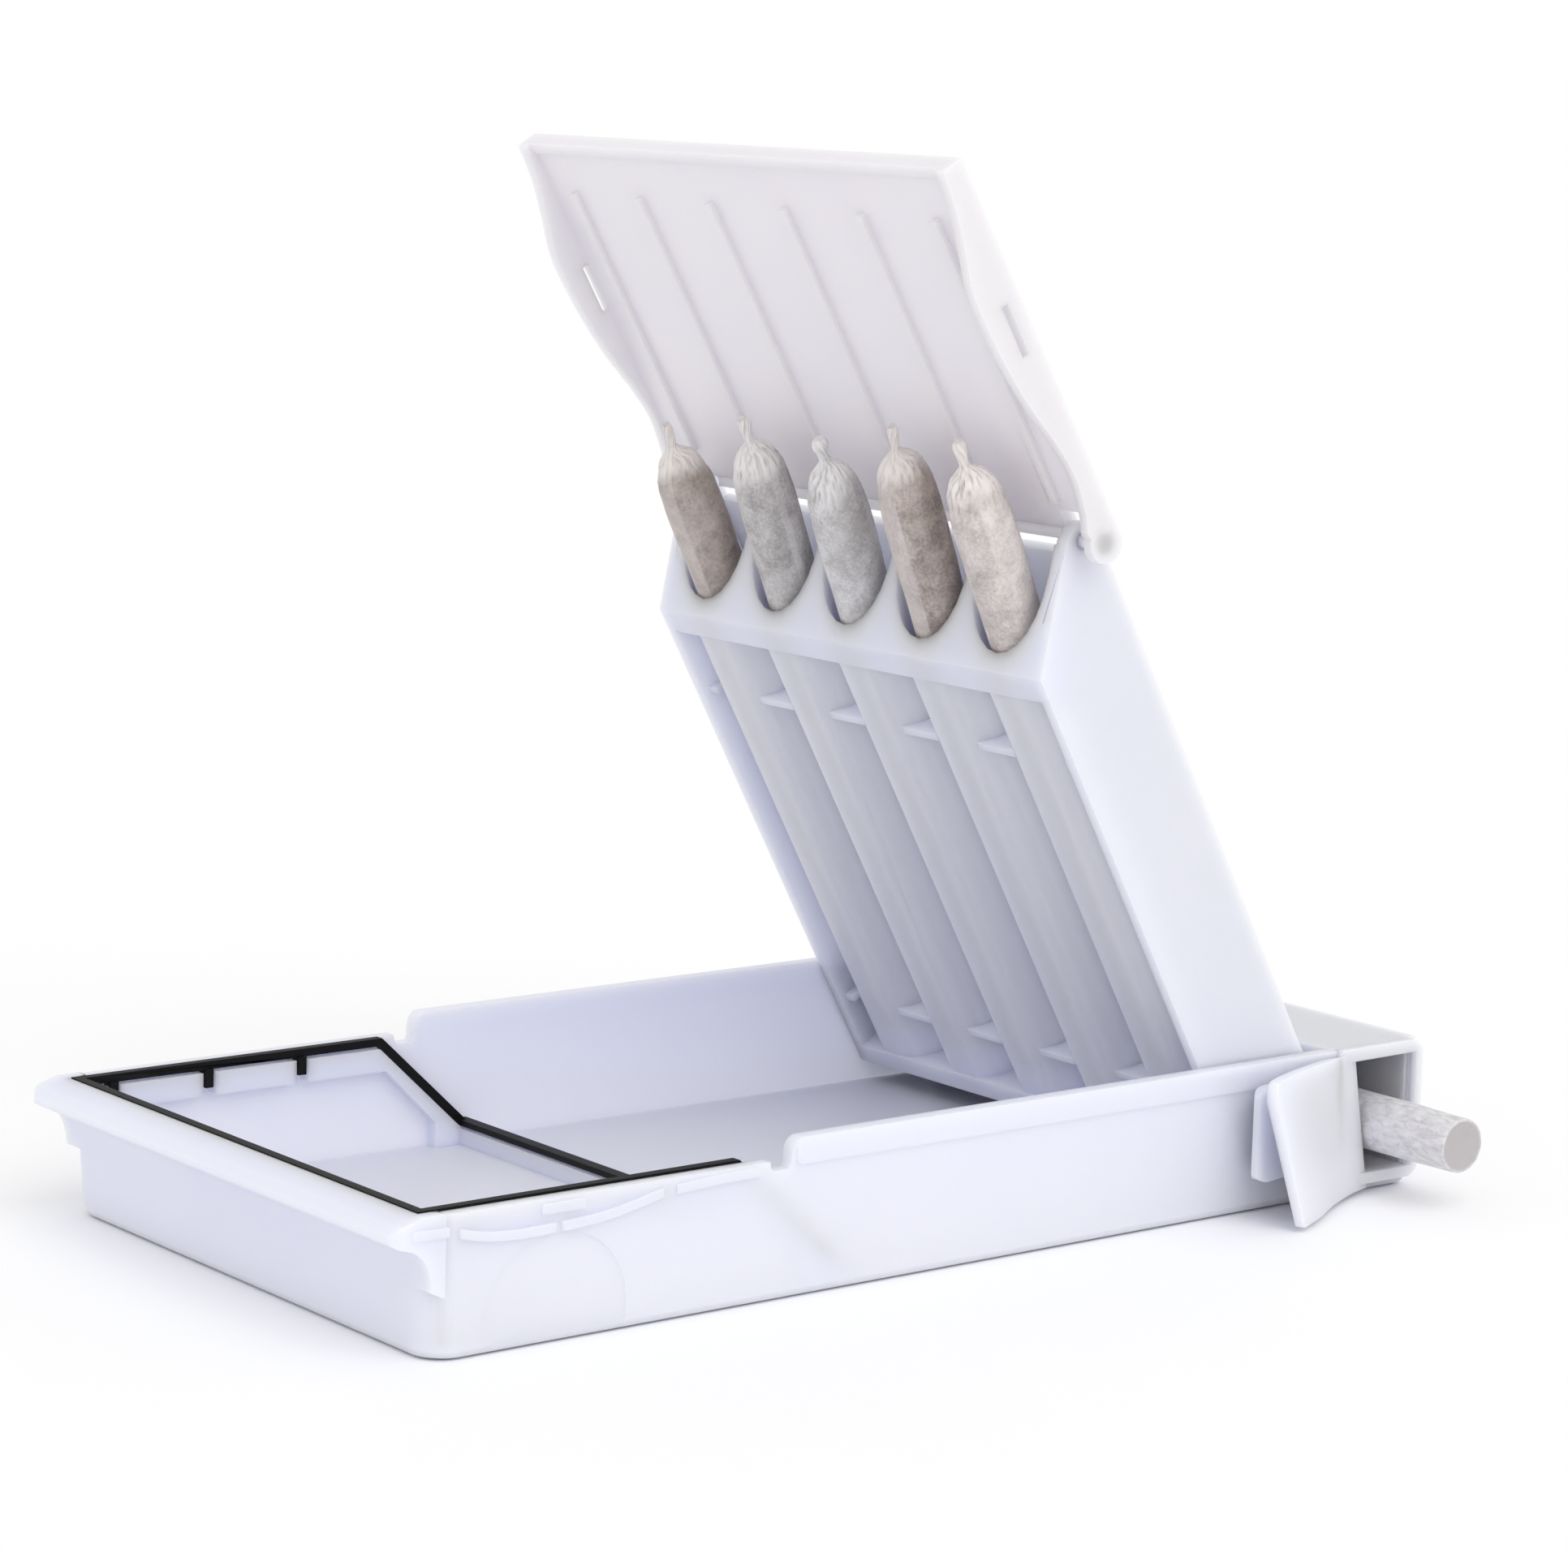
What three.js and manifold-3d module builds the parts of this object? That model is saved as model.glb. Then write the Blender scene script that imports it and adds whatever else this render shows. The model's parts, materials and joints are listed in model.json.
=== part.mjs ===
// Pocket stick case: a shallow tray with a gasketed compartment, a fold-up cartridge with five
// channels, a flip lid hinged on the cartridge, and an end drawer that holds one more stick.
// Millimetres, +Z up. The tray's bottom face is z = 0 and its centre is x = y = 0.
import * as THREE from "three";
import { mergeVertices } from "three/addons/utils/BufferGeometryUtils.js";
import Module from "manifold-3d";

const wasm = await Module();
wasm.setup();

// ---- Driving dimensions. Lengthways places are counted from the tray's left end wall. ----
const LENGTH = 118.6;
const HALF_WIDTH = 30.6; // outside, at the floor
const DRAFT = 0.8; // each long wall leans out by this much over its height
const HEIGHT = 15.2; // tall walls
const RIM = 13.3; // low walls round the compartment
const STEP_X = 38.2; // where the low wall steps up
const PIN_NOTCH = 12.35; // the low wall dips here for the lid's hinge pin
const FLOOR = 1.5;
const INNER_HALF = 29.9;
const GAP = 0.25; // between pieces that touch

const PARTITION = { x0: 42.9, x1: 44.7, top: 3.1 };
const SLOPE = { x: 44.5, z: 3.3, run: 1.07 }; // the gasket's sloping outer edge runs back over its rise
const LEDGE = { z: 12.4, under: 10.1, inner: 28.3 }; // seat of the gasket
const NOTCHES = [3.2, 13.65, 24.2]; // gaps in the seat that take the gasket's tabs
const NOTCH_WIDTH = 1.4;

const OPEN_ANGLE = THREE.MathUtils.degToRad(60.5);
const THICK = 12.2; // cartridge, front face to back face
const CART_HALF = 29.6;
const CLOSED_EDGE = { x: 46, z: 3 }; // front edge of the mouth when folded flat
const HINGE = { x: 100.77, z: 10.35 }; // cartridge hinge
const HINGE_U = CLOSED_EDGE.x - HINGE.x; // the hinge in the cartridge's own frame
const HINGE_N = HINGE.z - CLOSED_EDGE.z;
const END_RADIUS = 5.5;
const MOUTH = { u: 10.8, n: 9.3 }; // the slanted mouth rises n over u
const PITCH = 11.36;
const CHANNEL_R = 5.2;
const CHANNEL_N = 6.4; // depth of the channel's round front
const TUBE_R = 6.35;
const CROWN_N = 0.3;
const CHANNEL_FLOOR = -52.6;
const BACK_SEAT = 10.7;

const LID_AXIS = { u: 8.9, n: 10.4 };
const LID_LEAN = THREE.MathUtils.degToRad(1.6); // forward of flush when the lid rests on its stop
const LID = { start: 8.2, end: 48.9, half: 32.7, flange: 1.1, skin: 1.5, lip: 1.9 };
const LUG_R = 1.9;
const LID_SWEEP = 2.25; // radius that the lid's lower edge needs to turn in
const FLANGE_DEPTH = [
  [11, 3.2], [12.6, 2.6], [16.5, 2.1], [20.3, 2.6], [24.7, 3.6], [29.4, 4.3],
  [34.8, 4.6], [38, 4.4], [41, 3.6], [45, 2.7], [LID.end, 2.4],
]; // u, depth of the lid's side flange: a shallow bow over the catch
const WINDOW = { u0: 29.3, u1: 34.7, n0: 9.9, n1: 11.7 };

const TUNNEL = { x0: 106.5, wall: 0.9, top: 0.9 };
const STICK_R = 2.95;
const STICK_LENGTH = 72;
const TIP_LENGTH = 20;
// Each stick lies straight in its channel and leans over from the mouth. foot is its shift from
// the channel's middle in the channel; u, n and shift are where its twisted end stands.
const STICK_LOW_N = 4.25;
const BEND = { u: -6, soft: 6 };
const STICK_ENDS = [
  { u: 19.9, n: 4.9, shift: 0.6, foot: -0.6 },
  { u: 21.6, n: 5.4, shift: 2.6, foot: -0.55 },
  { u: 20.5, n: 5.4, shift: 2.3, foot: -0.6 },
  { u: 22.9, n: 5.5, shift: 2.9, foot: -0.5 },
  { u: 22.3, n: 5.2, shift: 1.3, foot: -0.5 },
];
const SPARE = { x: 113.9, z: 6.85, r: 2.85, out: -41.9, length: 69 };

// ---- Solids ----
const ARC_STEPS = 6;

function solidOf(geometry) {
  const bare = geometry.index ? geometry.toNonIndexed() : geometry.clone();
  bare.deleteAttribute("normal");
  bare.deleteAttribute("uv");
  const merged = mergeVertices(bare, 1e-4);
  return new wasm.Manifold(new wasm.Mesh({
    numProp: 3,
    vertProperties: new Float32Array(merged.attributes.position.array),
    triVerts: new Uint32Array(merged.index.array),
  }));
}

function geometryOf(solid) {
  const mesh = solid.getMesh();
  const geometry = new THREE.BufferGeometry();
  geometry.setAttribute("position", new THREE.BufferAttribute(mesh.vertProperties, 3));
  geometry.setIndex(new THREE.BufferAttribute(mesh.triVerts, 1));
  const flat = geometry.toNonIndexed();
  flat.computeVertexNormals();
  return flat;
}

const join = (...solids) => solids.reduce((all, one) => all.add(one));
const cut = (solid, ...tools) => tools.reduce((left, tool) => left.subtract(tool), solid);

function extrude(shape, depth) {
  return new THREE.ExtrudeGeometry(shape, { depth, bevelEnabled: false, curveSegments: ARC_STEPS });
}

// An outline drawn in X and Z, from y0 to y1.
function alongY(shape, y0, y1) {
  return solidOf(extrude(shape, y1 - y0).rotateX(Math.PI / 2).translate(0, y1, 0));
}

// An outline drawn in Y and Z, from x0 to x1.
function alongX(shape, x0, x1) {
  const turned = extrude(shape, x1 - x0).applyMatrix4(
    new THREE.Matrix4().makeBasis(
      new THREE.Vector3(0, 1, 0), new THREE.Vector3(0, 0, 1), new THREE.Vector3(1, 0, 0)));
  return solidOf(turned.translate(x0, 0, 0));
}

function alongZ(shape, z0, z1) {
  return solidOf(extrude(shape, z1 - z0).translate(0, 0, z0));
}

function block(x0, x1, y0, y1, z0, z1) {
  const box = new THREE.BoxGeometry(x1 - x0, y1 - y0, z1 - z0);
  return solidOf(box.translate((x0 + x1) / 2, (y0 + y1) / 2, (z0 + z1) / 2));
}

// A round bar along Y about the line through x, z.
function barY(x, z, radius, y0, y1, sides = 24) {
  const bar = new THREE.CylinderGeometry(radius, radius, y1 - y0, sides);
  return solidOf(bar.translate(x, (y0 + y1) / 2, z));
}

function outline(points) {
  return new THREE.Shape(points.map(([x, y]) => new THREE.Vector2(x, y)));
}

function roundedRectangle(x0, x1, y0, y1, leftR, rightR) {
  const shape = new THREE.Shape();
  shape.moveTo(x0 + leftR, y0);
  shape.absarc(x1 - rightR, y0 + rightR, rightR, -Math.PI / 2, 0);
  shape.absarc(x1 - rightR, y1 - rightR, rightR, 0, Math.PI / 2);
  shape.absarc(x0 + leftR, y1 - leftR, leftR, Math.PI / 2, Math.PI);
  shape.absarc(x0 + leftR, y0 + leftR, leftR, Math.PI, 1.5 * Math.PI);
  return shape;
}

// Both halves of a piece that is the same on the near and the far side.
const bothSides = (make) => join(make(-1), make(1));
const sideY = (side, a, b) => (side < 0 ? [-b, -a] : [a, b]);

// A closed body through rings of points, each ring the same count, capped at both ends.
function loft(rings) {
  const count = rings[0].length;
  const points = rings.flat();
  const faces = [];
  for (let r = 0; r + 1 < rings.length; r += 1) {
    for (let i = 0; i < count; i += 1) {
      const a = r * count + i;
      const b = r * count + ((i + 1) % count);
      faces.push(a, b, b + count, a, b + count, a + count);
    }
  }
  const last = (rings.length - 1) * count;
  for (let i = 1; i + 1 < count; i += 1) {
    faces.push(0, i + 1, i);
    faces.push(last, last + i, last + i + 1);
  }
  const geometry = new THREE.BufferGeometry();
  geometry.setAttribute("position", new THREE.Float32BufferAttribute(points.flat(), 3));
  geometry.setIndex(faces);
  return solidOf(geometry);
}

// ---- Tray ----
const wallAt = (z) => HALF_WIDTH + (DRAFT * z) / HEIGHT;

// x on the gasket's sloping outer edge at height z, moved down-left by offset.
const slopePoint = (z, offset) =>
  SLOPE.x - (z - SLOPE.z) * SLOPE.run - offset * Math.hypot(1, SLOPE.run);

function trayShell() {
  const EDGE = 1;
  const END_DRAFT = 0.7;
  const levels = [
    { z: 0, inset: EDGE },
    { z: EDGE * 0.3, inset: EDGE * 0.3 },
    { z: EDGE, inset: 0 },
    { z: HEIGHT, inset: 0 },
  ];
  const rings = levels.map(({ z, inset }) => {
    const half = wallAt(z) - inset;
    const lean = (END_DRAFT * z) / HEIGHT;
    const shape = roundedRectangle(inset - lean, LENGTH - inset, -half, half, 3, 1.2);
    return shape.getPoints(ARC_STEPS).slice(0, -1).map((p) => [p.x, p.y, z]);
  });
  return loft(rings);
}

function endLip() {
  const shape = new THREE.Shape();
  shape.moveTo(1, 6);
  shape.lineTo(-0.3, 6.6);
  shape.quadraticCurveTo(-0.5, 10.2, -3, 10.7);
  shape.quadraticCurveTo(-4.4, 10.9, -4.4, 11.9);
  shape.lineTo(-3.6, 12.7);
  shape.lineTo(-1.3, RIM + 0.1);
  shape.lineTo(1, RIM + 0.1);
  const half = wallAt(RIM);
  const plan = roundedRectangle(-4.4, 10, -half, half, 1.5, 1);
  return alongY(shape, -half, half).intersect(alongZ(plan, 0, HEIGHT));
}

function gasketSeat() {
  const shape = outline([
    [0.2, LEDGE.z],
    [slopePoint(LEDGE.z, 1.05), LEDGE.z],
    [slopePoint(PARTITION.top, 1.05), PARTITION.top],
    [slopePoint(PARTITION.top, 1.05), FLOOR - 0.5],
    [40, FLOOR - 0.5],
    [40, 4.1],
    [34, LEDGE.under],
    [0.2, LEDGE.under],
  ]);
  const seat = bothSides((side) => alongY(shape, ...sideY(side, LEDGE.inner, INNER_HALF + 0.3)));
  const notches = NOTCHES.map((x) => block(
    x - NOTCH_WIDTH / 2, x + NOTCH_WIDTH / 2, -INNER_HALF, INNER_HALF, LEDGE.under - 1, LEDGE.z + 1));
  return cut(seat, ...notches);
}

// Raised beads on each long wall, under the edge of the closed lid's flange.
const BEADS = [
  [[-2.4, 11.9], [1.2, 11.8]],
  [[2.4, 11.5], [5, 10.9], [8.6, 10.6], [12.3, 10.7]],
  [[13.1, 10.7], [17, 10.9], [20.6, 11.5], [23.8, 12.2]],
  [[25.4, 12.3], [30, 12.55], [34.6, 12.6]],
]; // x, z along each bead

function beads() {
  const HALF_BEAD = 0.42;
  const strips = BEADS.map((points) => {
    const curve = new THREE.SplineCurve(points.map(([x, z]) => new THREE.Vector2(x, z)));
    const line = curve.getPoints(6);
    const low = line.map((p) => [p.x, p.y - HALF_BEAD]);
    const high = line.map((p) => [p.x, p.y + HALF_BEAD]).reverse();
    return outline([...low, ...high]);
  });
  return bothSides((side) => join(...strips.map((s) => alongY(s, ...sideY(side, 30.6, 31.5)))));
}

// A shallow round thumb dimple that lies along the leaning wall.
function dimple(side) {
  const DEPTH = 0.15;
  const lean = THREE.MathUtils.radToDeg(Math.atan(DRAFT / HEIGHT));
  return barY(12.75, 2.4, 7.8, ...sideY(side, 0, 4), 64)
    .rotate([-side * lean, 0, 0])
    .translate([0, side * (HALF_WIDTH - DEPTH), 0]);
}

function trayBase() {
  const sky = HEIGHT + 5;
  const wallTop = new THREE.Shape();
  wallTop.moveTo(-8, RIM);
  wallTop.lineTo(35.8, RIM);
  wallTop.quadraticCurveTo(35.9, PIN_NOTCH, 36.4, PIN_NOTCH);
  wallTop.lineTo(STEP_X - 0.4, PIN_NOTCH);
  wallTop.quadraticCurveTo(STEP_X, PIN_NOTCH, STEP_X, RIM);
  wallTop.quadraticCurveTo(STEP_X + 0.1, HEIGHT, STEP_X + 1.4, HEIGHT);
  wallTop.lineTo(STEP_X + 1.4, sky);
  wallTop.lineTo(-8, sky);
  const cavity = outline([
    [1.6, FLOOR], [TUNNEL.x0, FLOOR], [TUNNEL.x0, sky], [-1, sky], [-1, LEDGE.z],
    [0.4, LEDGE.z], [0.4, 10.4], [1.3, 8],
  ]);
  const rimBand = roundedRectangle(STEP_X + 0.6, 99, 12.7, HEIGHT, 0.6, 0.6);
  const mouthX = TUNNEL.x0 + 0.1;
  let tray = cut(trayShell(), alongY(wallTop, -HALF_WIDTH - 5, HALF_WIDTH + 5), bothSides(dimple));
  tray = tray.add(endLip());
  tray = cut(tray, alongY(cavity, -INNER_HALF, INNER_HALF));
  tray = join(
    tray,
    gasketSeat(),
    block(PARTITION.x0, PARTITION.x1, -30, 30, FLOOR - 0.5, PARTITION.top),
    beads(),
    bothSides((side) => alongY(rimBand, ...sideY(side, 31, 31.5))),
    bothSides((side) => block(10.9, 15.4, ...sideY(side, 31, 31.5), 12.0, 12.9)), // lid catch
  );
  return cut(
    tray,
    block(TUNNEL.x0 + TUNNEL.wall, LENGTH - 0.6, -40, INNER_HALF, FLOOR, HEIGHT - TUNNEL.top),
    block(mouthX, LENGTH + 2, -40, -30.4, 0.9, sky),
    bothSides((side) => barY(HINGE.x, HINGE.z, 1.75, ...sideY(side, 29.5, 30.6))),
  );
}

function compartmentGasket() {
  const THIN = 0.85;
  const bottom = LEDGE.z + GAP;
  const top = bottom + THIN - 0.05;
  const low = PARTITION.top + GAP;
  const side = outline([
    [-0.8, bottom],
    [slopePoint(bottom, 0.85), bottom],
    [slopePoint(low, 0.85), low],
    [slopePoint(low, 0), low],
    [slopePoint(top, 0), top],
    [-0.8, top],
  ]);
  const [in0, in1] = [28.6, 29.6];
  const tabs = NOTCHES.map((x) => bothSides((s) => block(
    x - NOTCH_WIDTH / 2 + GAP, x + NOTCH_WIDTH / 2 - GAP, ...sideY(s, LEDGE.inner, in1), 10.9, bottom + 0.1)));
  return join(
    bothSides((s) => alongY(side, ...sideY(s, in0, in1))),
    block(-0.8, 0.2, -in1, in1, bottom, top),
    block(43.1, slopePoint(low, 0), -in1, in1, low, low + 0.6),
    ...tabs,
  );
}

// ---- Cartridge, in its own frame: X up the sticks (u), Z from front to back (n) ----
const CHANNELS = [-2, -1, 0, 1, 2].map((i) => i * PITCH);

function channelShape(y) {
  const shape = new THREE.Shape();
  shape.moveTo(y - CHANNEL_R, CHANNEL_N);
  shape.absarc(y, CHANNEL_N, CHANNEL_R, Math.PI, 2 * Math.PI);
  shape.lineTo(y + CHANNEL_R, BACK_SEAT + 0.2);
  shape.lineTo(y - CHANNEL_R, BACK_SEAT + 0.2);
  return shape;
}

// The scalloped front: each tube is a circle about its channel, flattened at the crown.
function tubeFront() {
  const half = Math.sqrt(TUBE_R ** 2 - (CHANNEL_N - CROWN_N) ** 2);
  const reach = PITCH / 2;
  const sideWall = CART_HALF - 1.2;
  const points = [[-CART_HALF, 0], [-sideWall, 0]];
  CHANNELS.forEach((y, index) => {
    const from = index === 0 ? -sideWall - y : -reach;
    const to = index === CHANNELS.length - 1 ? sideWall - y : reach;
    const flank = (d) => [y + d, CHANNEL_N - Math.sqrt(TUBE_R ** 2 - d ** 2)];
    const at = (a, b) => [0, 0.35, 0.7, 1].map((t) => flank(a + (b - a) * t));
    points.push(...at(from, -half), ...at(half, to).slice(0, index === CHANNELS.length - 1 ? 4 : 3));
  });
  points.push([sideWall, 0], [CART_HALF, 0], [CART_HALF, THICK], [-CART_HALF, THICK]);
  return outline(points);
}

function cartridgeSide() {
  const shape = new THREE.Shape();
  shape.moveTo(-58.2, 0);
  shape.lineTo(0, 0);
  shape.lineTo(MOUTH.u * 0.92, MOUTH.n * 0.92);
  shape.absarc(LID_AXIS.u, LID_AXIS.n, 1.8, -0.7, Math.PI / 2);
  const lean = Math.asin((THICK - HINGE_N) / END_RADIUS);
  shape.absarc(HINGE_U, HINGE_N, END_RADIUS, Math.PI - lean, 1.3 * Math.PI);
  shape.lineTo(-59.3, 1.1);
  return shape;
}

function cartridgeBody() {
  const BAND = 2.6;
  const gussets = [-10.3, -50].flatMap((u) => [-2.5, -1.5, -0.5, 0.5, 1.5, 2.5].map((i) => {
    const y = i * PITCH;
    const reach = Math.abs(i) > 2 ? 1.2 : 2.6;
    return block(u - 0.4, u + 0.4, y - reach, y + reach, 0.75, 4.4);
  }));
  const outer = join(
    alongX(tubeFront(), -62, 14),
    block(-BAND, 4, -CART_HALF, CART_HALF, 0, 4.4),
    block(-62, CHANNEL_FLOOR - 3.4, -CART_HALF, CART_HALF, 0, 4.6),
    ...gussets,
  );
  return cut(
    outer.intersect(alongY(cartridgeSide(), -CART_HALF, CART_HALF)),
    ...CHANNELS.map((y) => alongX(channelShape(y), CHANNEL_FLOOR, 20)),
    block(CHANNEL_FLOOR - 3, 20, -28.3, 28.3, BACK_SEAT, THICK + 1),
    barY(LID_AXIS.u, LID_AXIS.n, LID_SWEEP, -28.2, 28.2, 32), // room for the lid's edge to swing
    barY(HINGE_U, HINGE_N, 1.7, -30, -26),
    barY(HINGE_U, HINGE_N, 1.7, 26, 30),
    barY(LID_AXIS.u, LID_AXIS.n, 0.95, -30, 30),
  );
}

function cartridgeBackPlate() {
  return block(CHANNEL_FLOOR - 2.75, LID_AXIS.u - LID_SWEEP, -28.05, 28.05, BACK_SEAT + GAP, THICK);
}

// ---- Lid, in the cartridge's frame ----
function lid() {
  const under = THICK - LID.skin;
  const inner = LID.half - LID.flange;
  const RIB = 0.45;
  const side = new THREE.Shape();
  side.moveTo(LID_AXIS.u, THICK);
  side.absarc(LID_AXIS.u, LID_AXIS.n, LUG_R, Math.PI / 2, 1.75 * Math.PI);
  side.splineThru(FLANGE_DEPTH.map(([u, depth]) => new THREE.Vector2(u, THICK - depth)));
  side.lineTo(LID.end, THICK);
  const ribs = [-27.8, -1.5 * PITCH, -0.5 * PITCH, 0.5 * PITCH, 1.5 * PITCH, 27.8];
  const body = join(
    block(11.9, LID.end, -LID.half, LID.half, under, THICK),
    block(LID.start, 13, -27.4, 27.4, under, THICK),
    block(LID.end - 1.2, LID.end, -LID.half, LID.half, THICK - LID.lip, THICK),
    bothSides((s) => alongY(side, ...sideY(s, inner, LID.half))),
    ...ribs.map((y) => block(13, 43.3, y - RIB, y + RIB, under - 0.7, under + 0.1)),
  );
  return cut(
    body,
    block(WINDOW.u0, WINDOW.u1, -LID.half - 1, -31, WINDOW.n0, WINDOW.n1 - 1),
    block(WINDOW.u0, WINDOW.u1, 31, LID.half + 1, WINDOW.n0, WINDOW.n1 - 1),
    barY(LID_AXIS.u, LID_AXIS.n, 0.95, -32.3, 32.3),
  );
}

// ---- Sticks: a rolled paper tube with a card tip inside its lower end ----
function turned(profile, sides = 14) {
  const points = profile.map(([r, z]) => new THREE.Vector2(r, z));
  return solidOf(new THREE.LatheGeometry(points, sides));
}

function filledStick() {
  const end = STICK_LENGTH;
  return turned([
    [0, TIP_LENGTH + GAP], [STICK_R - 0.2, TIP_LENGTH + GAP], [STICK_R, 30], [STICK_R, 45],
    [STICK_R, 47], [STICK_R, 49], [STICK_R, 51], [STICK_R, 53], [STICK_R, end - 9],
    [STICK_R - 0.3, end - 6.5], [1.9, end - 4.6], [0.8, end - 3.4], [0.9, end - 1], [0, end],
  ]);
}

const cardTip = () => turned([
  [0, 0], [STICK_R - 0.3, 0], [STICK_R - 0.2, TIP_LENGTH], [0, TIP_LENGTH],
]);

// A stick's solid in its channel: straight up to the bend, then leaning to its twisted end.
function inChannel(solid, { u, n, shift, foot }, channel) {
  const bottom = u - STICK_LENGTH;
  const lean = (at) => {
    const past = Math.max(at - BEND.u, 0);
    return past < BEND.soft ? past ** 2 / (2 * BEND.soft) : past - BEND.soft / 2;
  };
  const reach = lean(u);
  return solid.warp((v) => {
    const at = bottom + v[2];
    const [across, deep] = [v[0], v[1]];
    v[0] = at;
    v[1] = channel + foot + ((shift - foot) * lean(at)) / reach + across;
    v[2] = STICK_LOW_N + ((n - STICK_LOW_N) * lean(at)) / reach + deep;
  });
}

// ---- End drawer ----
const SLEEVE = { x0: TUNNEL.x0 + 1.15, x1: LENGTH - 0.8, z0: 1.75, z1: HEIGHT - 1.15, wall: 0.5 };
const FRONT = { y0: -31.6, y1: -30.65 };

function drawerSleeve() {
  const { x0, x1, z0, z1, wall } = SLEEVE;
  const bore = block(x0 + wall, x1 - wall, -40, 28.3, z0 + wall, z1 - wall);
  const cradles = [-20, 18].map((y) => cut(
    block(x0 + 0.3, x1 - 0.3, y, y + 1.2, z0 + 0.3, SPARE.z - 1),
    barY(SPARE.x, SPARE.z, SPARE.r + GAP, y - 1, y + 3),
  ));
  return join(cut(block(x0, x1, FRONT.y1 + GAP, 29.3, z0, z1), bore), ...cradles);
}

// The finger wing: a plate whose upper edge stays near the wall and whose lower edge flares out.
const WING = {
  top: [[109.3, -31.2], [104, -32.8], [98.9, -34.5], [95.1, -36.0], [92.6, -37.4]],
  bottom: [[111.8, -31.2], [108.5, -32.3], [103.8, -34.6], [99.3, -37.3], [95.4, -39.2]],
  z1: 14.7,
  z0: 0.6,
  thick: 1,
};

function wing() {
  const edge = (points) => new THREE.SplineCurve(points.map(([x, y]) => new THREE.Vector2(x, y)));
  const [top, bottom] = [edge(WING.top), edge(WING.bottom)];
  const RISE = 4;
  const CORNER = 1.8; // radius of the upper outer corner
  const stations = [0, 0.1, 0.2, 0.3, 0.4, 0.5, 0.6, 0.7, 0.8, 0.9, 0.93, 0.96, 0.98, 0.993, 1];
  const rings = stations.map((t) => {
    const past = Math.max((t - 0.9) / 0.1, 0);
    const height = WING.z1 - WING.z0 - CORNER * (1 - Math.sqrt(1 - past ** 2));
    const rows = Array.from({ length: RISE + 1 }, (__, k) => {
      const p = bottom.getPoint(t).lerp(top.getPoint(t), k / RISE);
      const along = bottom.getTangent(t).lerp(top.getTangent(t), k / RISE).normalize();
      return { p, along, z: WING.z0 + (height * k) / RISE };
    });
    const outer = rows.map(({ p, z }) => [p.x, p.y, z]);
    const inner = rows.map(({ p, along, z }) => [
      p.x + along.y * WING.thick, p.y - along.x * WING.thick, z]).reverse();
    return [...outer, ...inner];
  });
  const solid = loft(rings);
  return solid.volume() > 0 ? solid : loft(rings.reverse());
}

function drawerFront() {
  const { x0, x1, z0, z1, wall } = SLEEVE;
  const face = roundedRectangle(TUNNEL.x0 + 0.35, LENGTH, 1.15, HEIGHT, 0.8, 1.6);
  const plate = cut(
    alongY(face, FRONT.y0, FRONT.y1),
    block(x0 + wall, x1 - wall + 0.4, -40, -20, z0 + wall, z1 - wall + 0.4),
  );
  const behind = block(80, 130, FRONT.y1, 0, -5, 20);
  const wallSide = block(80, TUNNEL.x0 + 0.35, -31.7, 0, -5, 20);
  return cut(plate.add(wing()), behind, wallSide);
}

function latchLeaf() {
  const plan = outline([
    [101.6, -31.6], [94.2, -32.8], [93.6, -33.3], [93.8, -33.9], [94.4, -34.1], [101.6, -32.55],
  ]);
  const face = roundedRectangle(93, 101.6, 4, 13.4, 2.4, 0.3);
  const leaf = alongZ(plan, 3, 15).intersect(alongY(face, -40, -20));
  const tongue = block(101.5, 104.4, -32.1, -31.6, 4.6, 8);
  return leaf.add(tongue);
}

const spareStick = () => barY(SPARE.x, SPARE.z, SPARE.r, SPARE.out, SPARE.out + SPARE.length, 16);

// ---- Materials ----
const finish = (color, roughness, metalness = 0) =>
  new THREE.MeshStandardMaterial({ color, roughness, metalness });
const WHITE = finish(0xe6e7ef, 0.45);
const INNER_WHITE = finish(0xdddde3, 0.5);
const BLACK = finish(0x0b0b0c, 0.6);
const CARD = finish(0xd9cfbd, 0.8);
const GREY_PAPER = finish(0xbcbab8, 0.9);
const PAPERS = [0xb9a89a, 0xbcb9b6, 0xc6c5c4, 0xa89b92, 0xd2c6bd].map((c) => finish(c, 0.85));

// ---- Assembly ----
const root = new THREE.Group();
const tray = new THREE.Group();
tray.position.x = -LENGTH / 2;
root.add(tray);

const swing = new THREE.Group(); // turns about the cartridge hinge
swing.position.set(HINGE.x, 0, HINGE.z);
swing.rotation.y = OPEN_ANGLE;
tray.add(swing);

const cartridge = new THREE.Group();
cartridge.rotation.z = Math.PI;
cartridge.position.set(HINGE_U, 0, -HINGE_N);
swing.add(cartridge);

function add(parent, name, solid, material) {
  const mesh = new THREE.Mesh(geometryOf(solid), material);
  mesh.name = name;
  parent.add(mesh);
  return mesh;
}

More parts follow.
